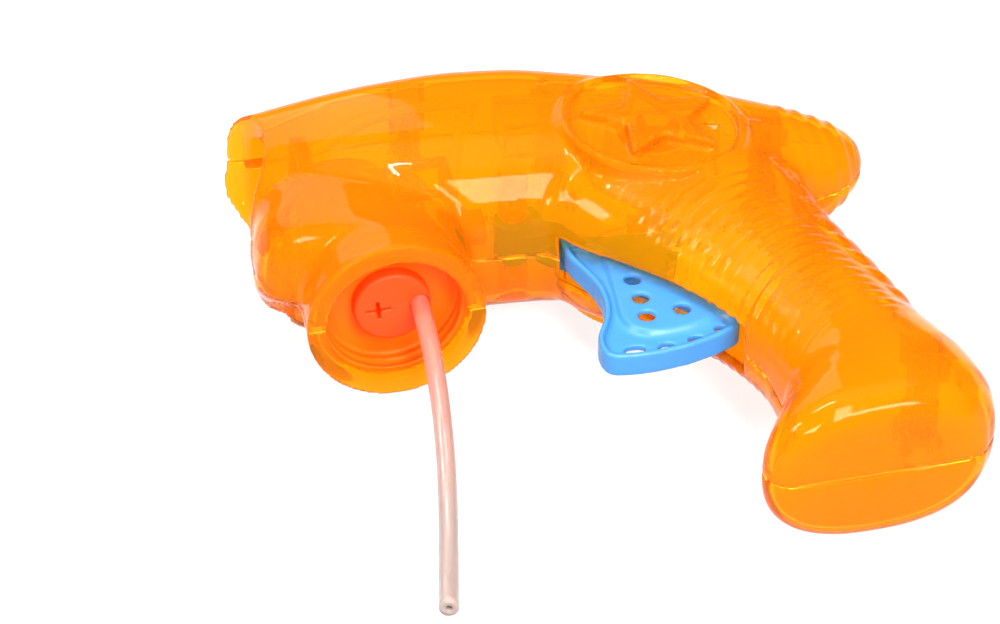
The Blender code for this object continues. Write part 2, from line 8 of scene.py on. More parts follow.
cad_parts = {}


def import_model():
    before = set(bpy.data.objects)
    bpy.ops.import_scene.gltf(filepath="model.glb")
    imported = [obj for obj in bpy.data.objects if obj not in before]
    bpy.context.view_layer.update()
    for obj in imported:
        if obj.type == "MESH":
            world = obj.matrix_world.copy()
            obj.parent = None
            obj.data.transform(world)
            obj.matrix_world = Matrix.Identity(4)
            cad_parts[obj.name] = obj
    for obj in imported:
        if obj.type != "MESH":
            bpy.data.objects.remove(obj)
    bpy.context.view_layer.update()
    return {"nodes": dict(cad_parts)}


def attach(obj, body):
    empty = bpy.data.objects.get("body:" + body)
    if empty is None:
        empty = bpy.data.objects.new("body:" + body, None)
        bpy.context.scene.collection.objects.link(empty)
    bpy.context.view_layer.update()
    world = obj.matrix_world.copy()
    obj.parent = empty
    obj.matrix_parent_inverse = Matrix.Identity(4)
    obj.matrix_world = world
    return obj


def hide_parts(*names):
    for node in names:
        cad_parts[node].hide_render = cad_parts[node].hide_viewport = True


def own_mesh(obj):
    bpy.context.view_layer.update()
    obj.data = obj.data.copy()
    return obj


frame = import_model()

MM = 0.001
ORIGIN = np.array((43.405, -1.54, -22.20))      # design point (U, V, W in mm) at the row's origin
RNG = np.random.default_rng(7)


def world(p):
    """Design millimetres to row metres."""
    return (np.asarray(p, float) - ORIGIN) * MM


# ---------------------------------------------------------------- camera, at the photograph's angle
AZ, EL, DIST, FOCAL = math.radians(-13.5), math.radians(37.8), 700.0, 3325.0
back = np.array((math.sin(AZ) * math.cos(EL), -math.cos(AZ) * math.cos(EL), math.sin(EL)))
right = np.array((math.cos(AZ), math.sin(AZ), 0.0))
up = np.cross(back, right)
eye = back * DIST + right * (500 - 398) / FOCAL * DIST + up * (322 - 312) / FOCAL * DIST
cam_data = bpy.data.cameras.new("camera")
cam_data.sensor_fit = "HORIZONTAL"
cam_data.sensor_width = 36.0
cam_data.lens = FOCAL / 1000 * 36
cam_data.clip_start, cam_data.clip_end = 0.01, 50
camera = bpy.data.objects.new("camera", cam_data)
turn = Matrix.Identity(4)
for i in range(3):
    turn[i][0], turn[i][1], turn[i][2], turn[i][3] = right[i], up[i], back[i], world(eye)[i]
camera.matrix_world = turn
bpy.context.scene.collection.objects.link(camera)
bpy.context.scene.camera = camera

# ---------------------------------------------------------------- shapes shared with the solids (mm)
WALL, SEAM = 2.0, 0.04
RIM_R, SOCKET_R = 19.15, 17.2
PIVOT = (30.6, 24.0)
GEAR = (PIVOT[0] + 41 * math.cos(math.radians(-18)), PIVOT[1] + 41 * math.sin(math.radians(-18)))
FAN = (GEAR[0] + 20.25 * math.cos(math.radians(107)), GEAR[1] + 20.25 * math.sin(math.radians(107)))
RING_R, RING_W = 20.6, 22.2
SLOT_W = 5.9
SCREWS = [(14.6, 61.2), (47.5, 56.0), (91.0, 35.8), (98.5, -50.0), (-20.4, 24.0), (93.0, 4.0)]
PLATE_POSTS = [(56.5, 22.0), (78.8, 30.0)]
BARREL = [(-25.4, 67.2, 36.5, 15.6, 3.0), (-19.0, 66.9, 33.0, 17.0, 3.1), (-12.0, 66.7, 29.0, 18.6, 3.3),
          (-3.0, 66.5, 24.0, 20.3, 3.6), (8.0, 66.7, 19.0, 21.5, 3.8), (22.0, 66.6, 16.4, 22.0, 4.0),
          (36.0, 65.0, 15.0, 21.9, 4.0), (50.0, 62.2, 11.0, 21.4, 3.6), (64.0, 58.2, 8.5, 20.6, 3.2),
          (78.0, 53.6, 13.0, 18.6, 2.8), (90.0, 49.2, 18.0, 15.8, 2.4), (98.0, 46.6, 20.6, 13.3, 2.2),
          (104.5, 44.4, 22.6, 10.6, 2.0), (109.3, 41.6, 26.2, 7.4, 2.0), (112.4, 38.4, 30.2, 4.0, 2.0),
          (113.3, 35.8, 33.2, 1.3, 2.0)]
HOUSING = [(0.0, -RIM_R, RIM_R, RIM_R, 2.0), (8.4, -18.9, 18.9, 18.9, 2.0), (10.6, -19.6, 18.9, 18.6, 2.0),
           (12.6, -22.6, 19.0, 18.2, 2.2), (15.4, -25.2, 19.3, 17.8, 2.5), (19.5, -26.5, 19.7, 17.5, 2.7),
           (26.0, -26.2, 20.0, 17.3, 2.8), (34.0, -24.9, 20.0, 17.0, 2.8), (44.0, -24.6, 20.0, 16.0, 2.8)]
GRIP = [(30.0, 56.0, 94.0, 20.0, 2.8, 0.0), (18.0, 36.0, 95.2, 20.0, 2.8, 0.0), (9.0, 40.5, 96.4, 18.8, 2.6, 0.0),
        (0.0, 49.8, 98.8, 17.0, 2.4, 1.0), (-9.0, 57.6, 101.4, 15.7, 2.3, 2.0), (-18.0, 63.6, 103.4, 14.9, 2.3, 3.0),
        (-27.0, 67.6, 105.2, 14.6, 2.3, 4.5), (-35.0, 69.7, 107.4, 14.9, 2.4, 6.0), (-43.0, 70.0, 109.2, 16.2, 2.5, 7.5),
        (-51.0, 67.2, 110.9, 17.6, 2.6, 6.0), (-58.0, 62.8, 111.2, 18.3, 2.6, 4.0), (-63.5, 60.2, 109.9, 18.5, 2.5, 2.0),
        (-68.0, 59.6, 107.6, 18.3, 2.4, 0.5)]
DIP = [(5.76, 8.4, 0.3), (5.72, 4.6, 0.3), (5.2, -5.8, 0.0), (4.7, -13.4, -1.2), (4.05, -20.9, -3.2), (3.4, -27.2, -6.0),
       (2.9, -31.4, -8.9), (2.35, -35.3, -11.7), (1.55, -39.7, -14.2), (0.6, -44.4, -16.3), (-0.45, -49.3, -18.0),
       (-1.7, -54.9, -19.3), (-3.05, -60.8, -20.0), (-4.5, -67.4, -20.15)]


# ---------------------------------------------------------------- curves and meshes
def smooth_path(points, step):
    """Points about a step apart on a smooth curve through the given ones."""
    p = np.asarray(points, float)
    e = np.vstack((2 * p[0] - p[1], p, 2 * p[-1] - p[-2]))
    fine = []
    for i in range(len(p) - 1):
        a, b, c, d = e[i:i + 4]
        for t in np.arange(24) / 24:
            fine.append(0.5 * (2 * b + (c - a) * t + (2 * a - 5 * b + 4 * c - d) * t * t + (3 * b - a - 3 * c + d) * t ** 3))
    fine.append(p[-1])
    fine = np.array(fine)
    s = np.concatenate(([0], np.cumsum(np.linalg.norm(np.diff(fine, axis=0), axis=1))))
    q = np.linspace(0, s[-1], max(3, round(s[-1] / step) + 1))
    return np.stack([np.interp(q, s, fine[:, k]) for k in range(3)], 1), s[-1]


def new_object(name, verts, faces, mat, smooth=True, body="casing", slot=None, replaces=()):
    """A mesh piece from row-frame vertices in metres; faces is a list or an array of quads."""
    me = bpy.data.meshes.new(name)
    if isinstance(faces, np.ndarray):
        n = len(faces)
        me.vertices.add(len(verts))
        me.vertices.foreach_set("co", np.asarray(verts, np.float32).ravel())
        me.loops.add(faces.size)
        me.loops.foreach_set("vertex_index", faces.astype(np.int32).ravel())
        me.polygons.add(n)
        me.polygons.foreach_set("loop_start", np.arange(0, faces.size, faces.shape[1], dtype=np.int32))
        me.update(calc_edges=True)
        me.validate()
    else:
        me.from_pydata([tuple(v) for v in verts], [], faces)
        me.update()
    if smooth:
        me.shade_smooth()
    ob = bpy.data.objects.new(name, me)
    bpy.context.scene.collection.objects.link(ob)
    me.materials.append(mat)
    if replaces:
        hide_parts(*replaces)
    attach(ob, body)
    return ob


def hollow_tube(name, path, outer, inner, sides, mat, **kw):
    """A tube with a real bore, its cut ends square."""
    p = np.asarray(path, float)
    n = len(p)
    t = np.gradient(p, axis=0)
    t /= np.linalg.norm(t, axis=1)[:, None]
    x = np.cross(t[0], (0, 0, 1.0))
    x /= np.linalg.norm(x)
    rows = {outer: [], inner: []}
    for i in range(n):
        x = x - t[i] * np.dot(x, t[i])
        x /= np.linalg.norm(x)
        y = np.cross(t[i], x)
        for r in (outer, inner):
            for k in range(sides):
                a = 2 * math.pi * k / sides
                rows[r].append(p[i] + r * (math.cos(a) * x + math.sin(a) * y))
    v = rows[outer] + rows[inner]
    off = n * sides
    f = []
    for i in range(n - 1):
        for k in range(sides):
            a, b = i * sides + k, i * sides + (k + 1) % sides
            f.append((b, a, a + sides, b + sides))
            f.append((off + a, off + b, off + b + sides, off + a + sides))
    for k in range(sides):
        a, b = k, (k + 1) % sides
        f.append((a, b, off + b, off + a))
        a, b = (n - 1) * sides + k, (n - 1) * sides + (k + 1) % sides
        f.append((b, a, off + a, off + b))
    return new_object(name, world(np.array(v)), f, mat, **kw)


# ---------------------------------------------------------------- fields: negative inside, about millimetres
def pchip(xs, ys, x):
    """A smooth curve through table points that never overshoots them."""
    xs, ys = np.asarray(xs, float), np.asarray(ys, float)
    if xs[0] > xs[-1]:
        xs, ys = xs[::-1], ys[::-1]
    h = np.diff(xs)
    d = np.diff(ys) / h
    m = np.zeros_like(ys)
    for i in range(1, len(xs) - 1):
        if d[i - 1] * d[i] > 0:
            a, b = 2 * h[i] + h[i - 1], h[i] + 2 * h[i - 1]
            m[i] = (a + b) / (a / d[i - 1] + b / d[i])
    m[0], m[-1] = d[0], d[-1]
    x = np.clip(x, xs[0], xs[-1])
    i = np.clip(np.searchsorted(xs, x) - 1, 0, len(h) - 1)
    t = (x - xs[i]) / h[i]
    return ((1 + 2 * t) * (1 - t) ** 2 * ys[i] + t * (1 - t) ** 2 * h[i] * m[i]
            + t * t * (3 - 2 * t) * ys[i + 1] + t * t * (t - 1) * h[i] * m[i + 1])


def column(table, k):
    return [row[k] for row in table]


def lookup(table, k, x):
    return pchip(column(table, 0), column(table, k), x)


def section(x, y, a, b, n):
    """Radial distance to a rounded-box section of half sizes a, b."""
    bad = (a < 0.25) | (b < 0.25)
    a, b = np.maximum(a, 0.25), np.maximum(b, 0.25)
    q = ((np.abs(x) / a) ** n + (np.abs(y) / b) ** n) ** (1 / n)
    r = np.hypot(x, y)
    d = np.where(q > 1e-3, r - r / np.maximum(q, 1e-3), -np.minimum(a, b))
    return np.where(bad, np.maximum(d, 0.6), d)


def even(d, step):
    """The field divided by its slope, so that it measures distance near its surface."""
    g = np.gradient(d, step)
    s = np.sqrt(g[0] ** 2 + g[1] ** 2 + g[2] ** 2)
    return (d / np.clip(s, 0.35, 3.0)).astype(np.float32)


def smin(a, b, k):
    h = np.maximum(k - np.abs(a - b), 0.0) / k
    return np.minimum(a, b) - h * h * k * 0.25


def smax(a, b, k):
    return -smin(-a, -b, k)


def surface_net(F, low, step):
    """Quads round the zero level of a sampled field."""
    s = F < 0
    n = np.array(F.shape) - 1
    count = np.zeros(n, np.uint8)
    for i in (0, 1):
        for j in (0, 1):
            for k in (0, 1):
                count += s[i:n[0] + i, j:n[1] + j, k:n[2] + k]
    active = (count > 0) & (count < 8)
    cells = np.argwhere(active)
    index = np.full(n, -1, np.int64)
    index[active] = np.arange(len(cells))
    acc, hits = np.zeros((len(cells), 3)), np.zeros(len(cells))
    for axis in range(3):
        o = [k for k in range(3) if k != axis]
        for i in (0, 1):
            for j in (0, 1):
                a = np.zeros(3, int)
                a[o[0]], a[o[1]] = i, j
                b = a.copy()
                b[axis] = 1
                fa, fb = F[tuple((cells + a).T)], F[tuple((cells + b).T)]
                x = (fa < 0) != (fb < 0)
                t = fa[x] / (fa[x] - fb[x])
                acc[x] += a
                acc[x, axis] += t
                hits[x] += 1
    verts = (cells + acc / hits[:, None]) * step + np.asarray(low, float)
    quads = []
    for axis in range(3):
        o = [k for k in range(3) if k != axis]
        a = [slice(None)] * 3
        b = [slice(None)] * 3
        a[axis], b[axis] = slice(0, -1), slice(1, None)
        change = s[tuple(a)] != s[tuple(b)]
        e = np.argwhere(change)
        e = e[(e[:, o[0]] > 0) & (e[:, o[1]] > 0) & (e[:, o[0]] < n[o[0]]) & (e[:, o[1]] < n[o[1]])]
        inside = s[tuple(e.T)]
        c = []
        for i, j in ((0, 0), (1, 0), (1, 1), (0, 1)):
            q = e.copy()
            q[:, o[0]] -= i
            q[:, o[1]] -= j
            c.append(index[tuple(q.T)])
        c = np.stack(c, 1)
        flip = inside if axis != 1 else ~inside
        c[~flip] = c[~flip][:, ::-1]
        quads.append(c)
    return verts, np.concatenate(quads)


def settle(verts, F, low, step):
    """Moves the vertices onto the zero level, which evens out the ripples of the grid."""
    slope = np.gradient(F, step)
    top = np.array(F.shape) - 2
    for _ in range(2):
        p = (verts - np.asarray(low, float)) / step
        i = np.clip(np.floor(p).astype(int), 0, top)
        t = p - i
        got = np.zeros((4, len(verts)))
        for a in (0, 1):
            for b in (0, 1):
                for c in (0, 1):
                    k = (i[:, 0] + a, i[:, 1] + b, i[:, 2] + c)
                    weight = (np.abs(1 - a - t[:, 0]) * np.abs(1 - b - t[:, 1]) * np.abs(1 - c - t[:, 2]))
                    got += weight * np.stack([q[k] for q in (F, *slope)])
        g2 = (got[1:] ** 2).sum(0)
        move = np.clip(got[0] / np.maximum(g2, 0.25), -0.3 * step, 0.3 * step)
        verts = verts - (move * got[1:]).T
    return verts


def grid(low, high, step):
    ax = [np.arange(a, b + step, step) for a, b in zip(low, high)]
    return ax[0][:, None, None], ax[1][None, :, None], ax[2][None, None, :]


def polygon(points, u, v):
    """Distance to a polygon's outline in U, V, negative inside."""
    u, v = np.broadcast_arrays(u, v)
    p = np.asarray(points, float)
    best = np.full(u.shape, 1e9)
    inside = np.zeros(u.shape, bool)
    for a, b in zip(p, np.roll(p, -1, 0)):
        e = b - a
        t = np.clip(((u - a[0]) * e[0] + (v - a[1]) * e[1]) / max(e @ e, 1e-12), 0, 1)
        best = np.minimum(best, np.hypot(u - a[0] - t * e[0], v - a[1] - t * e[1]))
        cross = (a[1] > v) != (b[1] > v)
        if abs(e[1]) > 1e-12:
            inside ^= cross & (u < a[0] + e[0] * (v - a[1]) / e[1])
    return np.where(inside, -best, best)


def rounded_points(points, radius, arc=5):
    """A polygon with its corners rounded off."""
    p = np.asarray(points, float)
    out = []
    for a, b, c in zip(np.roll(p, 1, 0), p, np.roll(p, -1, 0)):
        d, e = a - b, c - b
        r = min(radius, 0.45 * np.linalg.norm(d), 0.45 * np.linalg.norm(e))
        s, f = b + d / np.linalg.norm(d) * r, b + e / np.linalg.norm(e) * r
        for t in np.linspace(0, 1, arc):
            out.append((1 - t) ** 2 * s + 2 * t * (1 - t) * b + t * t * f)
    return np.array(out)


# ---------------------------------------------------------------- casing
def barrel_field(u, v, w, off, step):
    top, low, t, n = (lookup(BARREL, k, u) for k in (1, 2, 3, 4))
    mid = (top + low) / 2
    n = np.where(v < mid, np.minimum(n, 2.5), n)           # the barrel's lower corners are rounder
    d = section(v - mid, w, (top - low) / 2 - off, t - off, n)
    end = 113.3 if off == 0 else 111.0
    return np.maximum(even(d, step), u - end).astype(np.float32)


def housing_field(u, v, w, off, step, late=0.0):
    v = v - late * np.clip(w / 7.0, 0, 1) * np.clip((v - 4.0) / 7.0, 0, 1) * np.clip((34.0 - v) / 8.0, 0, 1)
    a, b, t, n = (lookup(HOUSING, k, v) for k in (1, 2, 3, 4))
    o = off
    if off:
        o = np.where(v < 10.0, np.interp(v, [0, 8.4, 10.0], [RIM_R - SOCKET_R, 18.9 - SOCKET_R, off]), off)
    d = section(u - (a + b) / 2, w, (b - a) / 2 - o, t - o, n)
    low = -6.0 if off else 0.0
    return np.maximum(even(d, step), np.maximum(low - v, v - 44.0)).astype(np.float32)


def grip_place(u, v):
    """The section that a point of the grip lies in, and its place across it."""
    s = np.broadcast_to(v, np.broadcast_shapes(u.shape, v.shape)).astype(float).copy()
    for _ in range(4):
        c = (lookup(GRIP, 1, s) + lookup(GRIP, 2, s)) / 2
        s = v - np.tan(np.radians(lookup(GRIP, 5, s))) * (u - c)
    return s, u - (lookup(GRIP, 1, s) + lookup(GRIP, 2, s)) / 2


def grip_field(u, v, w, off, step):
    s, x = grip_place(u, v)
    a, b, t, n = (lookup(GRIP, k, s) for k in (1, 2, 3, 4))
    n = np.where(x > 0, n - 0.5 * np.clip((s + 66.0) / 16.0, 0, 1), n)    # the rear is rounder than the front
    d = section(x, w, (b - a) / 2 - off, t - off, n)
    end = -71.2 + 0.0008 * x ** 2 + 0.003 * w ** 2 + off - s
    return np.maximum(smax(even(d, step), end, 7.0 if off == 0 else 4.0), s - 30.0).astype(np.float32)


def star(u, v, outer, inner, turn_deg):
    pts = []
    for k in range(10):
        r = outer if k % 2 == 0 else inner
        a = math.radians(turn_deg + 36 * k)
        pts.append((FAN[0] + r * math.cos(a), FAN[1] + r * math.sin(a)))
    return polygon(rounded_points(pts, 1.2), u, v)


def casing_half(side, step):
    """Sampled field of one half casing."""
    low, high = (-29.5, -73.0, -1.5), (116.0, 70.5, 25.0)
    u, v, w = grid(low, high, step)
    w_ = w                                                 # height from the mid-plane, both halves alike
    rho = np.hypot(u - FAN[0], v - FAN[1])
    late = 0.0 if side > 0 else 7.5                        # the right half's shoulder starts further back
    bar, hou, gri = barrel_field(u, v, w_, 0.0, step), housing_field(u, v, w_, 0.0, step, late), grip_field(u, v, w_, 0.0, step)

    # fine ribs across the grip's sides
    s = (u - 66.0) * 0.39 - (v - 12.0) * 0.92              # along the grip
    x = (u - 66.0) * 0.92 + (v - 12.0) * 0.39              # across it, to the rear
    edge = np.clip((x + 16.0) / 5.0, 0, 1) * np.clip((14.5 - x) / 5.0, 0, 1)
    span = np.clip((s + 13.0) / 3.0, 0, 1) * np.clip((58.0 - s) / 8.0, 0, 1)
    high_up = np.clip((w_ - 3.5) / 2.5, 0, 1)
    wave = 0.5 + 0.5 * np.cos(2 * math.pi * (s - 0.010 * (x - 4) ** 2) / 3.1)
    gri = gri - ((0.8 if side > 0 else 0.3) * wave ** 1.6 * edge * span * high_up).astype(np.float32)
    # bumps down the grip's rear edge
    rear = np.clip((x - 16.0) / 3.0, 0, 1) * np.clip((s + 8.0) / 4.0, 0, 1) * np.clip((54.0 - s) / 3.0, 0, 1)
    bump = np.abs(np.sin(math.pi * (s - 20.1) / 6.2)) ** 0.7
    gri = gri - (1.1 * bump * rear * np.clip((13.2 - w_) / 2.6, 0, 1)).astype(np.float32)
    # rings round the tail
    tail = np.clip((u - 93.0) / 3.0, 0, 1) * np.clip((111.0 - u) / 3.0, 0, 1)
    wave = 0.5 + 0.5 * np.cos(2 * math.pi * (u - 95.5 - 0.006 * (v - 37.0) ** 2) / 3.7)
    bar = bar - (0.32 * wave ** 2 * tail).astype(np.float32)

    out = smin(smin(bar, hou, 2.2), gri, 2.6)
    if side < 0:                                           # swelling round the screw near the grip's rear edge
        pu, pv = SCREWS[5]
        out = smin(out, smax(np.hypot(u - pu, v - pv) - 4.9, w_ - 11.5, 1.5), 3.0)
    lip = 20.9 - 0.095 * (u - FAN[0]) - 0.04 * (v - FAN[1]) if side > 0 else RING_W           # the upper ring leans with the barrel
    disc = smax(rho - RING_R, w_ - lip, 1.2)
    out = smin(out, disc, 1.6)
    # lip round the ring, sunk disc and raised star inside it
    out = np.maximum(out, -np.maximum(rho - (RING_R - 1.9), lip - 1.3 - w_))
    emblem = np.maximum(star(u, v, 16.4, 7.4, 95.0), w_ - (np.minimum(lip + 1.5, 23.35) if side > 0 else 22.0))
    out = smin(out, np.maximum(emblem, 18.0 - w_), 0.5)
    # bead round the socket rim
    out = smin(out, np.hypot(np.hypot(u, w_) - (RIM_R - 0.55), v - 0.75) - 0.8, 0.5)
    out = np.maximum(out, np.where(np.hypot(u, w_) < 24, -v, -99.0))

    b_in, h_in, g_in = (barrel_field(u, v, w_, WALL, step), housing_field(u, v, w_, WALL, step, late), grip_field(u, v, w_, WALL, step))
    b_in = np.where(u < -24.0, np.minimum(b_in, 99), b_in)
    disc_in = np.maximum(rho - (RING_R - 2.2), w_ - (lip - (2.2 if side > 0 else 3.0)))
    inn = smin(smin(b_in, h_in, 1.5), g_in, 1.5)
    inn = np.minimum(inn, disc_in)
    star_in = np.maximum(star(u, v, 13.6, 5.8, 95.0), w_ - (lip - 0.3 if side > 0 else 20.3))
    inn = np.minimum(inn, star_in)
    solid = smax(out, -inn, 0.3)
    rr = np.hypot(u, w_)
    solid = smin(solid, smax(smax(15.1 - rr, rr - 18.0, 0.5), np.maximum(-v, v - 3.1), 0.5), 0.3)

    # step inside the muzzle, where the bubble ring sits
    deep = 3.0 * np.clip((-2.0 - u) / 16.0, 0, 1)
    solid = smin(solid, np.maximum(np.maximum(b_in, -deep - b_in), np.maximum(-21.6 - u, u + 2.0)), 0.3)
    # muzzle scoop, slot for the trigger
    scoop = 21.5 - (0.0 if side > 0 else 1.2) * np.clip(w_ / 9.0, 0, 1) - np.hypot(u + 40.2, v - 51.5)
    solid = smax(solid, scoop + 0 * w_, 0.5)
    slot_line = rounded_points([(38.4, 20.5), (38.4, -34), (58, -34), (70.0, -25.6), (74, -8), (60, 12), (48, 20.5)], 1.5)
    opening = polygon(slot_line, u, v)
    solid = smax(solid, -np.maximum(opening, w_ - SLOT_W), 0.4)

    # posts for the screws and the trigger pin, kept inside the wall
    room = out + 0.6
    posts = np.full(solid.shape, 50.0, np.float32)
    for pu, pv in SCREWS:
        r = np.hypot(u - pu, v - pv)
        big = 3.4 if side > 0 else 3.9
        post = np.maximum(r - big, 0.35 - w_)
        for k in range(4):
            a = math.radians(45 + 90 * k)
            web = np.maximum(np.abs((u - pu) * math.sin(a) - (v - pv) * math.cos(a)) - 0.55,
                             np.maximum(r - 5.6, 6.0 - w_ + 0.25 * r))
            post = np.minimum(post, web)
        posts = np.minimum(posts, post)
    r = np.hypot(u - PIVOT[0], v - PIVOT[1])
    posts = np.minimum(posts, np.maximum(r - 3.3, 5.5 - w_))
    if side < 0:
        for pu, pv in PLATE_POSTS:
            posts = np.minimum(posts, np.maximum(np.hypot(u - pu, v - pv) - 2.3, 12.7 - w_))
    solid = smin(solid, np.maximum(posts, room), 0.4)
    for pu, pv in SCREWS:
        r = np.hypot(u - pu, v - pv)
        if side > 0:
            solid = np.maximum(solid, -np.maximum(r - 1.4, w_ - 9.0))
        else:
            solid = np.maximum(solid, -np.maximum(r - 1.4, w_ - 8.0))
            solid = np.maximum(solid, -np.maximum(r - 2.75, 7.5 - w_))
    r = np.hypot(u - PIVOT[0], v - PIVOT[1])
    solid = np.maximum(solid, -np.maximum(r - 1.8, w_ - 11.0))
    if side < 0:
        for pu, pv in PLATE_POSTS:
            solid = np.maximum(solid, -np.maximum(np.hypot(u - pu, v - pv) - 1.2, w_ - 17.0))
        for k in range(6):
            a = math.radians(60 * k + 15)
            solid = np.maximum(solid, -np.maximum(np.hypot(u - FAN[0] - 9 * math.cos(a), v - FAN[1] - 9 * math.sin(a)) - 1.6, 10 - w_))
    solid = np.maximum(solid, SEAM - w_)
    return solid.astype(np.float32), low


def casing_piece(name, side, step, mat):
    F, low = casing_half(side, step)
    verts, quads = surface_net(F, low, step)
    verts = settle(verts, F, low, step)
    if side < 0:
        verts[:, 2] *= -1
        quads = quads[:, ::-1]
    ob = new_object(name, world(verts), np.ascontiguousarray(quads), mat, slot="clear_orange",
                    replaces=("shell_left" if side > 0 else "shell_right",))
    # the parting faces are frosted
    ob.data.materials.append(FROSTED)
    level = np.empty(len(ob.data.vertices) * 3, np.float32)
    ob.data.vertices.foreach_get("co", level)
    level = np.abs(level.reshape(-1, 3)[:, 2] / MM + ORIGIN[2])
    index = np.empty(len(ob.data.loops), np.int32)
    ob.data.loops.foreach_get("vertex_index", index)
    flat = (level[index.reshape(-1, 4)].max(1) < 0.12).astype(np.int32)
    ob.data.polygons.foreach_set("material_index", flat)
    ob.data.update()
    return ob


def solid_piece(name, field, low, high, step, mat, **kw):
    u, v, w = grid(low, high, step)
    F = np.ascontiguousarray(np.broadcast_to(field(u, v, w), np.broadcast_shapes(u.shape, v.shape, w.shape))).astype(np.float32)
    verts, quads = surface_net(F, low, step)
    return new_object(name, world(verts), quads, mat, **kw)


# ---------------------------------------------------------------- materials
def principled(name, **values):
    m = bpy.data.materials.new(name)
    m.use_nodes = True
    nt = m.node_tree
    b = nt.nodes["Principled BSDF"]
    for k, x in values.items():
        key = k.replace("_", " ")
        sock = b.inputs[key]
        sock.default_value = (*x, 1.0) if isinstance(x, tuple) and len(x) == 3 and sock.type == "RGBA" else x
    return m, nt, b


def noise(nt, scale, detail=3.0, coords="Object"):
    tc = nt.nodes.new("ShaderNodeTexCoord")
    n = nt.nodes.new("ShaderNodeTexNoise")
    n.inputs["Scale"].default_value = scale
    n.inputs["Detail"].default_value = detail
    nt.links.new(tc.outputs[coords], n.inputs["Vector"])
    return n


def vary(nt, socket, source, low, high, lo_in=0.35, hi_in=0.65):
    r = nt.nodes.new("ShaderNodeMapRange")
    for k, x in (("From Min", lo_in), ("From Max", hi_in), ("To Min", low), ("To Max", high)):
        r.inputs[k].default_value = x
    nt.links.new(source, r.inputs["Value"])
    nt.links.new(r.outputs["Result"], socket)


def shades(nt, socket, source, a, b):
    r = nt.nodes.new("ShaderNodeValToRGB")
    r.color_ramp.elements[0].position, r.color_ramp.elements[1].position = 0.3, 0.7
    r.color_ramp.elements[0].color, r.color_ramp.elements[1].color = (*a, 1), (*b, 1)
    nt.links.new(source, r.inputs["Fac"])
    nt.links.new(r.outputs["Color"], socket)
    return r


def bumped(nt, b, source, strength, distance):
    n = nt.nodes.new("ShaderNodeBump")
    n.inputs["Strength"].default_value = strength
    n.inputs["Distance"].default_value = distance
    nt.links.new(source, n.inputs["Height"])
    nt.links.new(n.outputs["Normal"], b.inputs["Normal"])


def clear(name, colour, transmission, rough, absorb, density, ior=1.5):
    m, nt, b = principled(name, Base_Color=colour, Transmission_Weight=transmission, IOR=ior)
    n = noise(nt, 160.0)
    vary(nt, b.inputs["Roughness"], n.outputs["Fac"], rough * 0.7, rough * 1.5)
    if density:
        va = nt.nodes.new("ShaderNodeVolumeAbsorption")
        va.inputs["Color"].default_value = (*absorb, 1)
        va.inputs["Density"].default_value = density
        nt.links.new(va.outputs["Volume"], nt.nodes["Material Output"].inputs["Volume"])
    return m


def moulded(name, a, b_, rough, spec=0.5, bump=0.05, sss=0.0):
    m, nt, b = principled(name, Specular_IOR_Level=spec)
    n = noise(nt, 45.0, 4.0)
    shades(nt, b.inputs["Base Color"], n.outputs["Fac"], a, b_)
    f = noise(nt, 900.0, 2.0)
    vary(nt, b.inputs["Roughness"], f.outputs["Fac"], rough * 0.8, rough * 1.25)
    bumped(nt, b, f.outputs["Fac"], bump, 0.0001)
    if sss:
        b.inputs["Subsurface Weight"].default_value = sss
        b.inputs["Subsurface Scale"].default_value = 0.002
        b.inputs["Subsurface Radius"].default_value = (1.0, 0.4, 0.15)
    return m


SHELL = clear("clear_orange", (1.0, 0.45, 0.005), 0.86, 0.05, (1.0, 0.55, 0.05), 150.0, 1.11)
for key, x in (("Specular Tint", (1.0, 0.72, 0.22, 1.0)), ("Coat Weight", 0.085), ("Coat Roughness", 0.03)):
    SHELL.node_tree.nodes["Principled BSDF"].inputs[key].default_value = x
FROSTED = moulded("frosted_orange", (1.0, 0.42, 0.012), (1.0, 0.46, 0.016), 0.6, spec=0.1, bump=0.03)
YELLOW = clear("clear_yellow", (0.97, 0.90, 0.42), 0.85, 0.06, (0.9, 0.85, 0.2), 60.0, 1.3)
INSERT = moulded("orange_red", (1.0, 0.086, 0.001), (1.0, 0.098, 0.0012), 0.42, spec=0.12, bump=0.02)
SEAL = moulded("soft_orange", (1.0, 0.039, 0.001), (1.0, 0.044, 0.0012), 0.5, spec=0.2, bump=0.02)
BLUE = moulded("blue", (0.028, 0.152, 0.375), (0.032, 0.160, 0.40), 0.38, spec=0.3, bump=0.01)
NYLON = moulded("white_nylon", (0.82, 0.80, 0.74), (0.88, 0.86, 0.8), 0.45)
STEEL, nt, b = principled("steel", Base_Color=(0.62, 0.62, 0.64), Metallic=1.0)
vary(nt, b.inputs["Roughness"], noise(nt, 400.0).outputs["Fac"], 0.2, 0.35)
MILKY, nt, b = principled("milky_tube", Transmission_Weight=0.1, IOR=1.45, Subsurface_Weight=0.5, Subsurface_Scale=0.002)
tc = nt.nodes.new("ShaderNodeTexCoord")
sep = nt.nodes.new("ShaderNodeSeparateXYZ")
nt.links.new(tc.outputs["Object"], sep.inputs["Vector"])
mr = nt.nodes.new("ShaderNodeMapRange")
for k, x in (("From Min", -0.045), ("From Max", 0.008), ("To Min", 0.0), ("To Max", 1.0)):
    mr.inputs[k].default_value = x
nt.links.new(sep.outputs["Y"], mr.inputs["Value"])
r = shades(nt, b.inputs["Base Color"], mr.outputs["Result"], (0.235, 0.175, 0.153), (0.41, 0.112, 0.073))
r.color_ramp.elements[0].position, r.color_ramp.elements[1].position = 0.0, 1.0
vary(nt, b.inputs["Roughness"], noise(nt, 300.0).outputs["Fac"], 0.28, 0.42)
TUBING = clear("clear_tubing", (1.0, 0.80, 0.55), 0.6, 0.15, (1, 1, 1), 0.0)

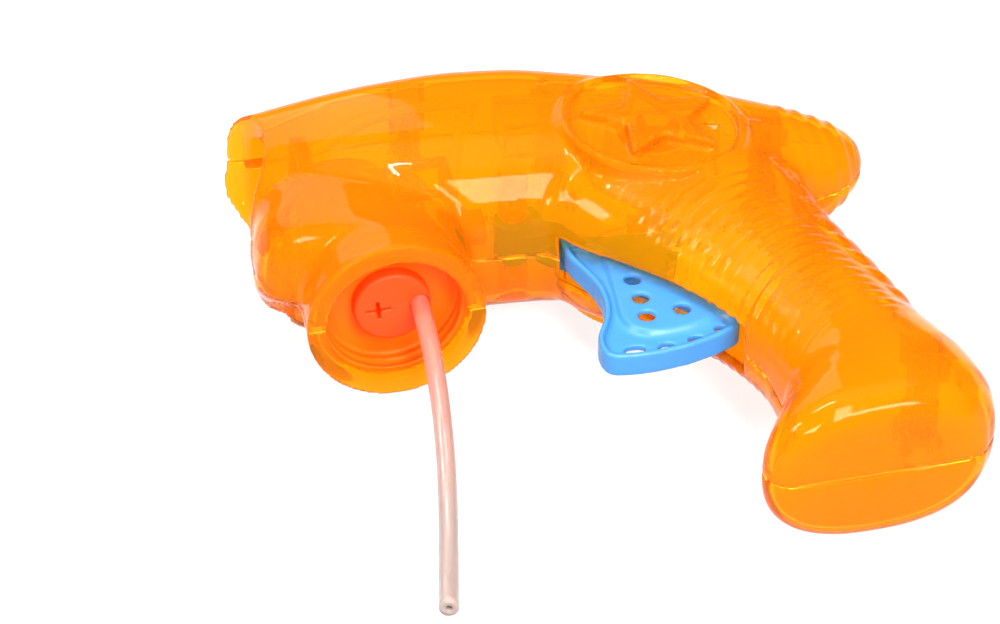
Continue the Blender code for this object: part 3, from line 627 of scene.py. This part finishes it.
# ---------------------------------------------------------------- dip tube, a free cord
path, length = smooth_path(DIP, 1.6)
dip = hollow_tube("dip_tube_soft", path, 2.0, 0.75, 24, MILKY, slot="milky_tube", replaces=("dip_tube",))

# ---------------------------------------------------------------- casing halves
casing_piece("casing_left", 1, 0.69, SHELL)
casing_piece("casing_right", -1, 0.78, SHELL)


# ---------------------------------------------------------------- socket insert and seal disc
def sleeve(u, v, w, rows, n=2.6):
    """A rounded tube along V from rows of V, middle U, half width and half height."""
    c, a, b = (np.interp(v, column(rows, 0), column(rows, k)) for k in (1, 2, 3))
    return section(u - c, w, a, b, n)


def box_field(u, v, w, low, high, round_by=0.5):
    q = [np.maximum(lo - x, x - hi) for x, lo, hi in zip((u, v, w), low, high)]
    return smax(smax(q[0], q[1], round_by), q[2], round_by)


def insert_field(u, v, w):
    r = np.hypot(u, w)
    outer = np.interp(v, [0.6, 0.9, 7.6, 8.4, 10.4, 23.2], [16.6, 16.9, 16.9, 16.5, 14.9, 14.9])
    cup = np.maximum(r - outer, np.maximum(3.3 - v, v - 23.2))
    body = sleeve(u, v, w, [(21.0, -2.0, 11.6, 13.6), (28.0, -3.4, 11.8, 14.2), (33.0, -4.7, 12.2, 14.8), (40.8, -4.9, 12.4, 15.2)])
    body = smax(body, np.maximum(21.0 - v, v - 40.8), 1.2)
    d = smin(cup, body, 2.0)
    # thread: one ridge that climbs round the bore
    a = np.arctan2(w, u) / (2 * math.pi)
    climb = (v - 1.2 - 3.0 * a) / 3.0
    ridge = np.clip(1.0 - np.abs(climb - np.round(climb)) * 3.0 / 0.75, 0, 1) * ((v > 1.0) & (v < 7.4))
    bore = np.maximum(r - (15.0 - 0.8 * ridge), v - 8.8)
    d = smax(d, -bore, 0.25)
    hollow = sleeve(u, v, w, [(24.2, -2.6, 9.8, 12.0), (28.0, -3.4, 10.0, 12.4), (33.0, -4.7, 10.4, 13.0), (45.0, -4.9, 10.6, 13.4)])
    d = smax(d, -np.maximum(hollow, 24.2 - v), 0.4)
    d = np.maximum(d, -np.maximum(r - 9.0, np.maximum(15.2 - v, v - 25.0)))
    d = np.maximum(d, -np.maximum(np.hypot(u - 5.76, w - 0.3) - 1.2, np.maximum(8.0 - v, v - 16.0)))
    d = np.maximum(d, -box_field(u, v, w, (4.4, 23.6, -4.6), (13.0, 34.5, 2.4)))
    # rails and the plate that carries the pump
    d = smin(d, box_field(u, v, w, (5.6, 38.6, 9.6), (19.5, 40.8, 12.2), 0.9), 0.6)
    d = smin(d, box_field(u, v, w, (6.6, 38.4, 0.6), (19.4, 40.6, 3.2), 0.9), 0.6)
    d = smin(d, box_field(u, v, w, (17.6, 27.0, -8.0), (19.5, 40.8, 12.2), 0.8), 0.4)
    return np.maximum(d, -np.maximum(np.hypot(v - 33.0, w + 3.0) - 1.2, np.maximum(15.0 - u, u - 22.0)))


solid_piece("socket_insert_moulded", insert_field, (-18.5, -0.6, -18.5), (21.0, 42.5, 18.5), 0.5, INSERT,
            slot="orange_red", replaces=("socket_insert",))


def disc_field(u, v, w):
    r = np.hypot(u, w)
    crown = 4.6 + 0.012 * r * r * (r < 8.4) * 0.6
    d = smax(r - 8.4, np.maximum(crown - v, v - 8.5), 0.9)
    d = np.maximum(d, -np.maximum(np.hypot(u - 5.76, w - 0.3) - 2.12, v - 9.0))
    cu, cw = u + 3.2, w
    ca, sa = math.cos(math.radians(4)), math.sin(math.radians(4))
    x, y = cu * ca + cw * sa, -cu * sa + cw * ca
    slit = np.minimum(np.maximum(np.abs(x) - 2.7, np.abs(y) - 0.28), np.maximum(np.abs(y) - 2.3, np.abs(x) - 0.36))
    slit = np.minimum(slit, np.hypot(x, y) - 0.75)
    return np.maximum(d, -np.maximum(slit, v - 7.4))


solid_piece("seal_disc_soft", disc_field, (-9.4, 3.6, -9.4), (9.4, 9.4, 9.4), 0.24, SEAL, slot="soft_orange", replaces=("seal_disc",))


# ---------------------------------------------------------------- trigger
TRIG = [(39.4, 19.7), (39.5, 13.0), (39.9, 9.8), (41.4, 5.6), (42.7, 1.6), (43.3, -2.6), (43.1, -6.5), (42.2, -10.6), (40.8, -13.6),
        (39.1, -16.8), (38.4, -19.5), (38.5, -22.4), (39.3, -24.4), (41.0, -25.4), (45.5, -26.0), (50.1, -26.0), (56.8, -25.2),
        (63.8, -23.2), (68.8, -20.8), (69.4, -17.5), (66.5, -12.0), (57.6, -1.5), (50.6, 9.0), (45.0, 16.5), (41.0, 23.5),
        (30.6, 28.2), (30.6, 19.8)]
PANEL = [(46.6, 9.6), (46.6, 4.0), (45.7, -6.4), (45.0, -12.2), (46.0, -16.2), (48.9, -18.6), (53.1, -19.3), (59.3, -18.8), (65.9, -16.6),
         (69.0, -17.6), (74.0, -12.0), (64.0, 6.0), (52.0, 18.0), (50.0, 12.0)]
TRIG_HOLES = [(50.9, -0.6), (50.9, -7.2), (50.5, -13.4), (58.4, -12.8)]
EDGE_HOLES = [(45.5, -22.5, 2.3, 1.4), (52.3, -23.0, 1.9, 1.35), (58.8, -21.9, 1.7, 1.25), (64.8, -19.7, 1.4, 1.1)]


def teeth_line():
    z, m = 72, 1.0
    r = m * z / 2
    base = r * math.cos(math.radians(20))
    half = (math.pi * m / 2 - 0.3) / (2 * r) + math.tan(math.radians(20)) - math.radians(20)
    phase = math.radians(-18) + math.pi / z

    def flank(q):
        if q <= base:
            return half
        a = math.acos(base / q)
        return half - (math.tan(a) - a)

    def at(q, t):
        return (PIVOT[0] + q * math.cos(t), PIVOT[1] + q * math.sin(t))
    lo, hi = phase - 5.6 * 2 * math.pi / z, phase + 1.6 * 2 * math.pi / z
    pts = [at(3.0, lo), at(34.8, lo)]
    for k in range(-5, 2):
        t = phase + 2 * math.pi * k / z
        pts += [at(q, t - flank(q)) for q in (r - 1.2, r, r + 0.85)] + [at(q, t + flank(q)) for q in (r + 0.85, r, r - 1.2)]
    return pts + [at(34.8, hi), at(3.0, hi)]


def trigger_field(u, v, w):
    line = rounded_points(TRIG, 1.2)
    flat = polygon(line, u, v)
    d = smax(flat, np.abs(w) - 2.8, 0.9)
    # a channel sunk between the rim and the panel that holds the holes
    panel = polygon(rounded_points(PANEL, 1.6), u, v)
    channel = smax(smax(flat + 1.35, 1.5 - w, 0.8), v - 14.0, 0.8)
    d = smax(d, -smax(channel, -(panel + 0.3), 1.8), 0.7)
    hollow = smax(smax(flat + 1.4, w - 0.1, 0.8), v - 11.0, 0.8)       # open on its right face
    d = smax(d, -hollow, 0.3)
    d = smax(d, -smax(smax(panel + 1.6, w - 1.5, 0.6), np.maximum(flat + 1.6, v - 8.0), 0.6), 0.3)
    for hu, hv in TRIG_HOLES:
        d = smax(d, -(np.hypot(u - hu, v - hv) - 1.85), 0.3)
    for hu, hv, ha, hb in EDGE_HOLES:
        d = np.maximum(d, -section(u - hu, v - hv, np.full(u.shape, ha), np.full(u.shape, hb), 2.0))
    hub = np.maximum(np.hypot(u - PIVOT[0], v - PIVOT[1]) - 4.3, np.abs(w) - 5.0)
    arm = polygon([(35.4, 22.0), (40.5, 22.0), (38.3, 33.0)] +
                  [(36.75 + 1.55 * math.cos(math.radians(q)), 33.0 + 1.55 * math.sin(math.radians(q))) for q in range(30, 181, 30)], u, v)
    arm = np.maximum(arm, np.abs(w + 2.5) - 2.5)
    web = np.maximum(polygon(teeth_line(), u, v), np.abs(w + 2.99) - 1.99)
    d = smin(np.minimum(d, hub), np.minimum(arm, web), 0.3)
    return np.maximum(d, -(np.hypot(u - PIVOT[0], v - PIVOT[1]) - 1.75))


solid_piece("trigger_moulded", trigger_field, (25.0, -27.4, -6.2), (70.8, 35.8, 6.2), 0.4, BLUE, body="trigger_lever",
            slot="blue", replaces=("trigger",))



# ---------------------------------------------------------------- pump spring
def wire(name, path, radius, sides, mat, **kw):
    """A round wire with closed ends."""
    p = np.asarray(path, float)
    t = np.gradient(p, axis=0)
    t /= np.linalg.norm(t, axis=1)[:, None]
    x = np.cross(t, (1.0, 0, 0))
    x /= np.linalg.norm(x, axis=1)[:, None]
    y = np.cross(t, x)
    a = 2 * math.pi * np.arange(sides) / sides
    v = (p[:, None] + radius * (np.cos(a)[None, :, None] * x[:, None] + np.sin(a)[None, :, None] * y[:, None])).reshape(-1, 3)
    f = []
    for i in range(len(p) - 1):
        for k in range(sides):
            q, r = i * sides + k, i * sides + (k + 1) % sides
            f.append((q, r, r + sides, q + sides))
    f.append(tuple(range(sides))[::-1])
    f.append(tuple((len(p) - 1) * sides + k for k in range(sides)))
    return new_object(name, world(v), f, mat, **kw)


coil = np.linspace(0, 1, 133)
spring = wire("pump_spring_coil", np.stack((26.65 + 6.6 * coil, 33.0 + 2.2 * np.cos(11 * math.pi * coil), -3.0 + 2.2 * np.sin(11 * math.pi * coil)), 1),
              0.28, 10, STEEL, slot="steel", replaces=("pump_spring",))
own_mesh(spring)

# ---------------------------------------------------------------- finish of the pieces that show as they are
for names, mat in ((("suction_tube", "feed_tube"), TUBING), (("bubble_ring",), SEAL), (("pump_barrel", "fan"), INSERT),
                   (("pump_plunger", "first_gear", "gear_plate"), NYLON), (("fan_housing", "fan_cover"), YELLOW),
                   (("pump_spring", "trigger_pin", "first_gear_axle", "fan_axle", "plate_screw_1", "plate_screw_2") +
                    tuple("casing_screw_%d" % (k + 1) for k in range(6)), STEEL)):
    for n in names:
        ob = frame["nodes"][n]
        for s in ob.material_slots:
            s.material = mat
        if not ob.material_slots:
            ob.data.materials.append(mat)

# ---------------------------------------------------------------- floor, light
me = bpy.data.meshes.new("floor")
me.from_pydata([(-6, -6, 0), (6, -6, 0), (6, 6, 0), (-6, 6, 0)], [], [(0, 1, 2, 3)])
FLOOR, nt, b = principled("pale_floor", Roughness=0.6, Specular_IOR_Level=0.2, Emission_Color=(1.0, 1.0, 1.0), Emission_Strength=0.78)
shades(nt, b.inputs["Base Color"], noise(nt, 3.0).outputs["Fac"], (0.20, 0.20, 0.20), (0.21, 0.21, 0.21))
me.materials.append(FLOOR)
floor = bpy.data.objects.new("floor", me)
bpy.context.scene.collection.objects.link(floor)
floor.location.z = -0.0002

sky = bpy.data.worlds.new("studio")
bpy.context.scene.world = sky
sky.use_nodes = True
bg = sky.node_tree.nodes["Background"]
bg.inputs["Strength"].default_value = 1.0
tc = sky.node_tree.nodes.new("ShaderNodeTexCoord")
sep = sky.node_tree.nodes.new("ShaderNodeSeparateXYZ")
ramp = sky.node_tree.nodes.new("ShaderNodeMapRange")
for k, x in (("From Min", 0.1), ("From Max", 0.8), ("To Min", 1.0), ("To Max", 0.45)):
    ramp.inputs[k].default_value = x
sky.node_tree.links.new(tc.outputs["Generated"], sep.inputs["Vector"])
sky.node_tree.links.new(sep.outputs["Z"], ramp.inputs["Value"])
rear = sky.node_tree.nodes.new("ShaderNodeMapRange")                # brighter low down at the rear
for k, x in (("From Min", 0.82), ("From Max", 0.97), ("To Min", 0.0), ("To Max", 1.2)):
    rear.inputs[k].default_value = x
sky.node_tree.links.new(sep.outputs["Y"], rear.inputs["Value"])
both = sky.node_tree.nodes.new("ShaderNodeMath")
both.operation = "ADD"
sky.node_tree.links.new(ramp.outputs["Result"], both.inputs[0])
sky.node_tree.links.new(rear.outputs["Result"], both.inputs[1])
sky.node_tree.links.new(both.outputs["Value"], bg.inputs["Strength"])


def softbox(name, at, to, size, power):
    d = bpy.data.lights.new(name, "AREA")
    d.shape, d.size, d.size_y, d.energy = "RECTANGLE", size[0], size[1], power
    o = bpy.data.objects.new(name, d)
    bpy.context.scene.collection.objects.link(o)
    o.location = at
    o.rotation_euler = (Vector(to) - Vector(at)).to_track_quat("-Z", "Y").to_euler()
    return o


softbox("top_box", (0.1, 0.3, 1.3), (0, 0, 0.02), (1.2, 0.9), 5.0)
softbox("front_box", (0.02, -0.62, 0.78), (-0.01, 0.02, 0.035), (0.17, 0.66), 14.0)
softbox("end_box", (0.32, -0.79, 0.65), (0.04, -0.067, 0.037), (0.45, 0.2), 11.0)
softbox("toe_box", (-0.375, -0.80, 0.585), (0.025, -0.067, 0.034), (0.30, 0.18), 7.0)
softbox("rib_box", (-0.31, 0.14, 1.24), (-0.31, 0.0, 0.04), (0.44, 0.05), 13.0)
softbox("back_box", (-0.32, 1.15, 0.72), (-0.02, 0.04, 0.03), (0.9, 0.7), 5.0)
softbox("left_box", (-0.74, -0.08, 0.70), (0.0, 0.0, 0.036), (0.28, 0.26), 9.0)
bpy.context.scene.view_settings.view_transform = "Standard"
bpy.context.scene.cycles.max_bounces = 32
bpy.context.scene.cycles.transmission_bounces = 32
